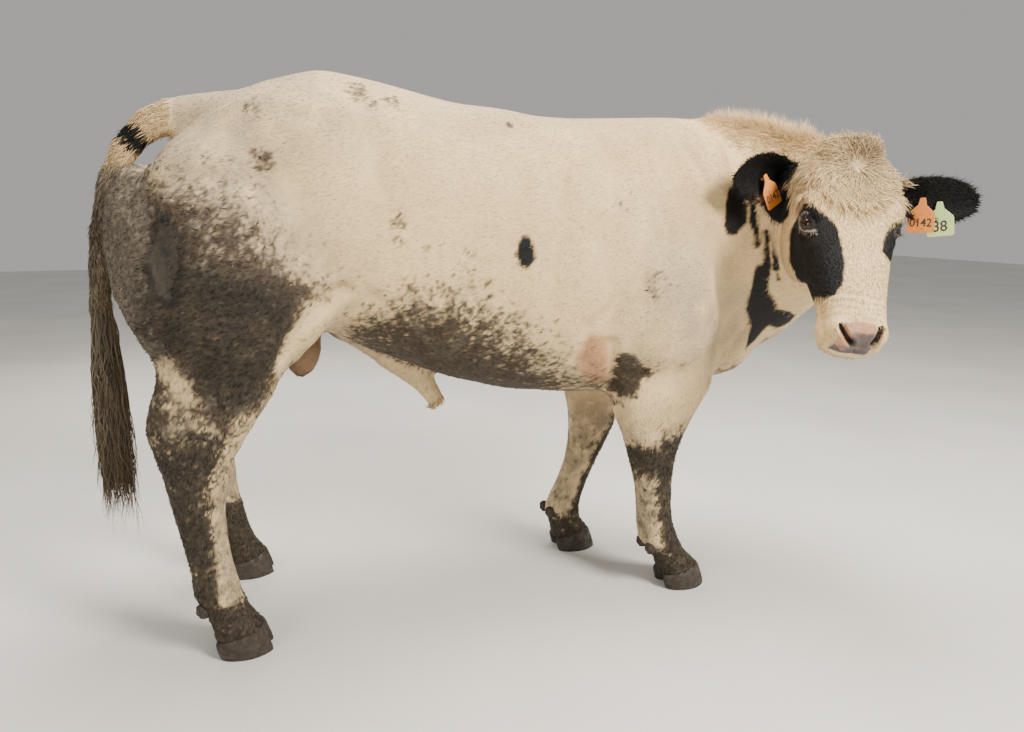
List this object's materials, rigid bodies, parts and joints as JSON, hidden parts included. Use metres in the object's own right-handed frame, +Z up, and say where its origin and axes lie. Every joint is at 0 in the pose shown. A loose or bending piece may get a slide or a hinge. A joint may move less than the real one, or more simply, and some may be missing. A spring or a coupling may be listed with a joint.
{
  "type": "standing bull",
  "caption": "Heavily muscled white beef bull with dark ears, standing square with its head turned aside, tagged ears and hanging tail.",
  "frame": {"origin": "centre of the bounding box at the level of the soles", "axes": "+X forward from tail to breast, +Y to the animal's left, +Z up"},
  "size_m": [2.1672, 1.03, 1.4068],
  "materials": {
    "coat_white": "short matt hair, cream white with black marks and dried mud",
    "ear_black": "short matt black hair",
    "scrotum_skin": "bare skin, dirty reddish brown",
    "horn_grey": "dark muddy horn",
    "eye_dark": "wet and glossy",
    "tag_orange": "satin flexible plastic",
    "tag_green": "satin flexible plastic"
  },
  "bodies": {
    "root": {"claw_fore_left_inner": "horn_grey", "claw_fore_left_outer": "horn_grey", "claw_fore_right_inner": "horn_grey", "claw_fore_right_outer": "horn_grey", "claw_hind_left_inner": "horn_grey", "claw_hind_left_outer": "horn_grey", "claw_hind_right_inner": "horn_grey", "claw_hind_right_outer": "horn_grey", "dewclaw_fore_left_inner": "horn_grey", "dewclaw_fore_left_outer": "horn_grey", "dewclaw_fore_right_inner": "horn_grey", "dewclaw_fore_right_outer": "horn_grey", "dewclaw_hind_left_inner": "horn_grey", "dewclaw_hind_left_outer": "horn_grey", "dewclaw_hind_right_inner": "horn_grey", "dewclaw_hind_right_outer": "horn_grey", "ear_left": "ear_black", "ear_right": "ear_black", "eye_left": "eye_dark", "eye_right": "eye_dark", "head": "coat_white", "leg_fore_left": "coat_white", "leg_fore_right": "coat_white", "leg_hind_left": "coat_white", "leg_hind_right": "coat_white", "neck": "coat_white", "scrotum": "scrotum_skin", "tag_green_left": "tag_green", "tag_orange_left": "tag_orange", "tag_orange_right": "tag_orange", "tail": "coat_white", "tail_switch": "coat_white", "torso": "coat_white"}
  },
  "joints": []
}
